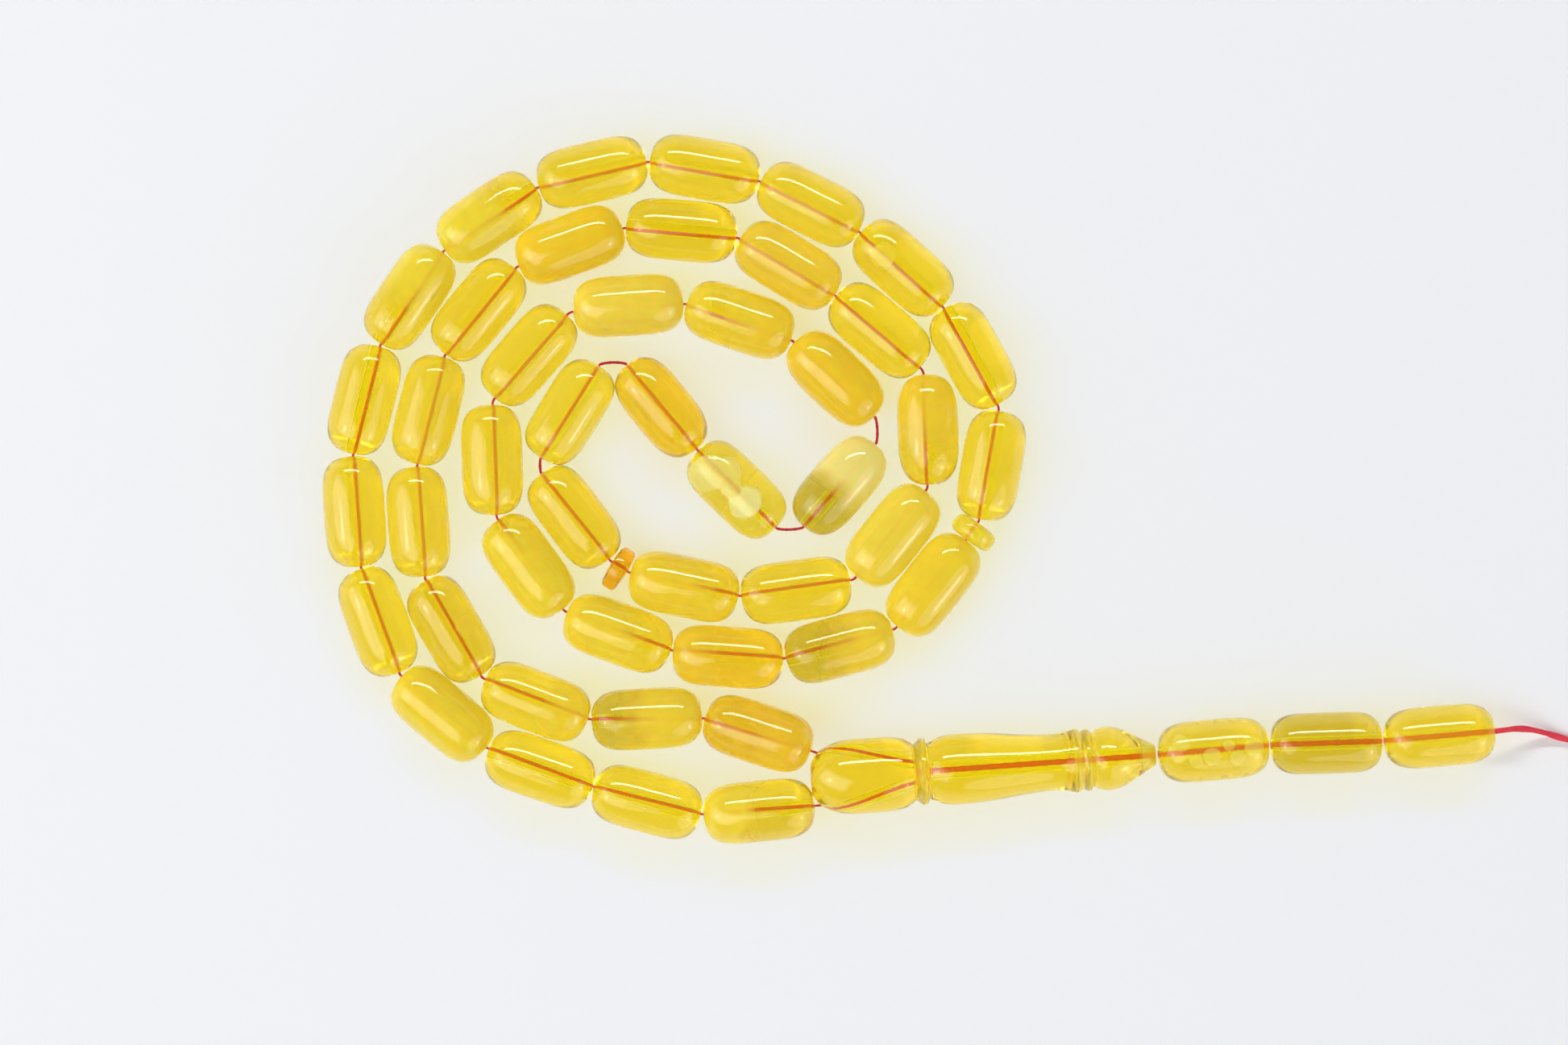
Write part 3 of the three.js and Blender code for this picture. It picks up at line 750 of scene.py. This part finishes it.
# ---- the imame: (mm from the head's end, diameter); each run is smooth, with an edge where two runs meet ----
DOME = [(5.8 * (1 - math.cos(math.radians(a))), 2.6 + 7.17 * math.sin(math.radians(a))) for a in range(0, 91, 6)]
IMAME_RUNS = [
    DOME + [(9.2, 9.77), (10.3, 9.66), (11.6, 9.3), (12.2, 9.0), (12.8, 8.4), (13.4, 7.6), (13.62, 7.2)],
    [(13.62, 7.2), (14.1, 8.2), (14.25, 8.45)],
    [(14.25, 8.45), (14.38, 8.62), (14.7, 8.68), (14.98, 8.6), (15.1, 8.4)],
    [(15.1, 8.4), (15.32, 7.25)],
    [(15.32, 7.25), (16.0, 7.8), (16.6, 8.4), (17.2, 8.8), (18.2, 9.14), (19.4, 9.24), (20.6, 9.2), (22.3, 9.0),
     (24.8, 8.5), (27.3, 7.9), (29.8, 7.48), (31.5, 7.36), (33.0, 7.6), (34.0, 8.08), (34.4, 8.24)],
    [(34.4, 8.24), (34.7, 8.26), (34.9, 8.15)],
    [(34.9, 8.15), (35.2, 7.65), (35.45, 7.5)],
    [(35.45, 7.5), (35.75, 7.88), (36.1, 8.04), (36.42, 7.86), (36.6, 7.4), (36.8, 7.0)],
    [(36.8, 7.0), (37.3, 7.66), (38.0, 8.12), (38.7, 8.3), (39.3, 8.2), (39.9, 7.96), (41.2, 6.98), (42.4, 5.62),
     (43.7, 4.1), (44.6, 3.06), (44.88, 2.7)],
    [(44.88, 2.7), (45.0, 2.4)],
]
IMAME_BANDS = [(13.5, 15.4, 0.4, 1.0), (34.3, 37.0, 0.4, 0.9), (43.2, 45.2, 0.45, 0.3)]
PER_SPAN, IMAME_AROUND = 3, 128  # points on each span of a run, and round the piece
DRILL_AROUND, DRILL_RINGS = 32, 13
RUN_UP, RUN_OUT, PAST_TIP = 1.2, 0.6, 46  # in mm: before a mouth, past the apex, and where the stem's drill ends
ON_EDGE, SHARP_TURN = 0.001 * MM, 0.6
BORE_SKIN = 1.02  # a point within this many radii of a bore's axis is on its wall


def spline(points):
    """A smooth outline through (along, radius) points, ends included."""
    out = []
    for i in range(len(points) - 1):
        p0 = Vector(points[max(i - 1, 0)])
        p1, p2 = Vector(points[i]), Vector(points[i + 1])
        p3 = Vector(points[min(i + 2, len(points) - 1)])
        for k in range(PER_SPAN):
            leave, arrive = (p2 - p0) / 2, (p3 - p1) / 2
            for slope in (leave, arrive):
                if slope.x:
                    slope *= (p2.x - p1.x) / slope.x
            out.append(hermite(p1, leave, p2, arrive, k / PER_SPAN))
    return out + [Vector(points[-1])]


def lathe(name, outline, around, materials):
    """A closed solid turned about +Y from (along, radius) points, without a bore."""
    verts = [Vector((0, outline[0][0], 0))]
    for y, r in outline:
        verts += [Vector((r * math.cos(2 * math.pi * k / around), y, r * math.sin(2 * math.pi * k / around)))
                  for k in range(around)]
    verts.append(Vector((0, outline[-1][0], 0)))
    last = len(verts) - 1
    faces = []
    for k in range(around):
        n = (k + 1) % around
        faces.append((0, 1 + k, 1 + n))
        for j in range(len(outline) - 1):
            a, b = 1 + j * around, 1 + (j + 1) * around
            faces.append((a + n, a + k, b + k, b + n))
        a = 1 + (len(outline) - 1) * around
        faces.append((last, a + n, a + k))
    return make_object(name, verts, faces, materials)


def drill(start, end, radius):
    """A rod to cut a bore with."""
    axis = (end - start).normalized()
    side = axis.orthogonal().normalized()
    up = axis.cross(side)
    angles = [2 * math.pi * k / DRILL_AROUND for k in range(DRILL_AROUND)]
    verts = [start.lerp(end, j / (DRILL_RINGS - 1)) + (side * math.cos(a) + up * math.sin(a)) * radius
             for j in range(DRILL_RINGS) for a in angles]
    return make_object("drill", verts, tube_faces(DRILL_AROUND, DRILL_RINGS), [])


def beside(point, start, end):
    """How far a point lies from the line through start and end."""
    along = (end - start).normalized()
    off = point - start
    return (off - along * off.dot(along)).length


outline, edges_at = [], []
for run in IMAME_RUNS:
    points = spline(run)
    if outline:
        edges_at.append(outline[-1].x * MM)
        points = points[1:]
    outline += points
outline = [(p.x * MM, p.y / 2 * MM) for p in outline]
imame = lathe("imame_turned", outline, IMAME_AROUND, [AMBERS["clear_amber"]])
bores = []
for side in (1, -1):
    mouth, apex = (Vector((side * x, y, 0)) * MM for x, y in (MOUTH, APEX))
    along = (apex - mouth).normalized()
    bores.append((mouth - along * RUN_UP * MM, apex + along * RUN_OUT * MM, BORE_RADIUS))
bores.append((Vector((0, (APEX[1] - RUN_OUT) * MM, 0)), Vector((0, PAST_TIP * MM, 0)), STEM_BORE_RADIUS))
drills = [drill(*bore) for bore in bores]
for cutter in drills:
    cut_by = imame.modifiers.new("bore", "BOOLEAN")
    cut_by.object = cutter
    cut_by.operation = "DIFFERENCE"
    cut_by.solver = "EXACT"
dressed = bpy.data.meshes.new_from_object(imame.evaluated_get(bpy.context.evaluated_depsgraph_get()))
imame.modifiers.clear()
imame.data = dressed
for cutter in drills:
    bpy.data.objects.remove(cutter)

sharpen = bmesh.new()
sharpen.from_mesh(dressed)
for edge in sharpen.edges:
    at_corner = all(any(abs(v.co.y - y) < ON_EDGE for y in edges_at) for v in edge.verts)
    edge.smooth = not (at_corner or edge.calc_face_angle(0) > SHARP_TURN)
sharpen.to_mesh(dressed)
sharpen.free()
mark(imame, "wall", [float(any(beside(v.co, start, end) < radius * BORE_SKIN for start, end, radius in bores))
                     for v in dressed.vertices])
paint(imame, imame_matrix, IMAME_SEED, cloud=0.06, bands=IMAME_BANDS)
finish_piece(imame, imame_matrix, "imame", "clear_amber")

# ---- stage ----
PALE_ROOM, ROOM_STRENGTH = (0.92, 0.93, 0.95, 1), 0.95
TABLE_HALF = 3
floor_material, nodes, links, shader, output = new_material("table_white")
shader.inputs["Base Color"].default_value = (0.92, 0.935, 0.965, 1)
shader.inputs["Roughness"].default_value = 0.6
shader.inputs["Specular IOR Level"].default_value = 0.2
# far from the beads the table is as bright as the room that it meets
where, reach = nodes.new("ShaderNodeTexCoord"), nodes.new("ShaderNodeVectorMath")
reach.operation = "LENGTH"
links.new(where.outputs["Object"], reach.inputs[0])
distant = map_range(nodes, links, reach.outputs["Value"], given=(0.7, 1.5))
haze = nodes.new("ShaderNodeEmission")
haze.inputs["Color"].default_value = PALE_ROOM
haze.inputs["Strength"].default_value = ROOM_STRENGTH
near = shader.outputs["BSDF"]
far = mix_shader(nodes, links, distant, near, haze.outputs["Emission"])
looked_at = nodes.new("ShaderNodeLightPath").outputs["Is Camera Ray"]
links.new(mix_shader(nodes, links, looked_at, near, far), output.inputs["Surface"])
corners = [(x * TABLE_HALF, y * TABLE_HALF, TABLE_Z) for x, y in ((-1, -1), (1, -1), (1, 1), (-1, 1))]
floor = make_object("table", corners, [(0, 1, 2, 3)], [floor_material])

# the room is bright near the table and dim overhead
world = bpy.data.worlds.new("world")
bpy.context.scene.world = world
world.use_nodes = True
sky, sky_links = world.node_tree.nodes, world.node_tree.links
background = sky["Background"]
background.inputs["Color"].default_value = (1, 1, 1, 1)
direction, height = sky.new("ShaderNodeTexCoord"), sky.new("ShaderNodeSeparateXYZ")
sky_links.new(direction.outputs["Generated"], height.inputs[0])
brightness = map_range(sky, sky_links, height.outputs["Z"], given=(0.0, 0.35), result=(0.8, 0.04))
sky_links.new(brightness, background.inputs["Strength"])
# seen straight or through the amber it is as pale as the table
seen = sky.new("ShaderNodeLightPath")
pale_room = sky.new("ShaderNodeBackground")
pale_room.inputs["Color"].default_value = PALE_ROOM
pale_room.inputs["Strength"].default_value = ROOM_STRENGTH
shown = background.outputs[0]
for kind in ("Is Transmission Ray", "Is Camera Ray"):
    shown = mix_shader(sky, sky_links, seen.outputs[kind], shown, pale_room.outputs[0])
sky_links.new(shown, sky["World Output"].inputs["Surface"])


def lamp(name, azimuth, elevation, distance, size, radiance, shape="RECTANGLE", turn=0):
    """An area lamp that faces the middle of the view, from azimuth and elevation in degrees; turn rolls it."""
    data = bpy.data.lights.new(name, "AREA")
    data.shape = shape
    data.size, data.size_y = size
    area = size[0] * size[1] * (1 if shape == "RECTANGLE" else math.pi / 4)
    data.energy = radiance * area * math.pi
    obj = bpy.data.objects.new(name, data)
    a, e = math.radians(azimuth), math.radians(elevation)
    toward = Vector((math.cos(e) * math.cos(a), math.cos(e) * math.sin(a), math.sin(e)))
    obj.location = VIEW_CENTRE + toward * distance
    roll = Quaternion((0, 0, 1), math.radians(turn))
    obj.rotation_euler = (toward.to_track_quat("Z", "Y") @ roll).to_euler()
    bpy.context.collection.objects.link(obj)


lamp("strip", 90, 43, 2.0, (2.0, 0.26), 11.5)
lamp("left_box", 193, 47, 1.8, (2.75, 1.5), 1.1, turn=45)
lamp("left_inner", 193, 47, 1.78, (2.3, 1.05), 1.2, turn=45)
lamp("left_middle", 190, 43, 1.75, (0.8, 0.8), 0.5, "DISK")
lamp("left_hot", 190, 43, 1.7, (0.35, 0.35), 4.0, "DISK")
lamp("right_box", -45, 28, 1.8, (2.2, 1.8), 1.25, "ELLIPSE")
lamp("right_middle", -36, 24, 1.75, (0.7, 0.7), 1.0, "DISK")
lamp("right_hot", -36, 24, 1.7, (0.3, 0.3), 3.5, "DISK")

bpy.context.scene.view_settings.view_transform = "Standard"
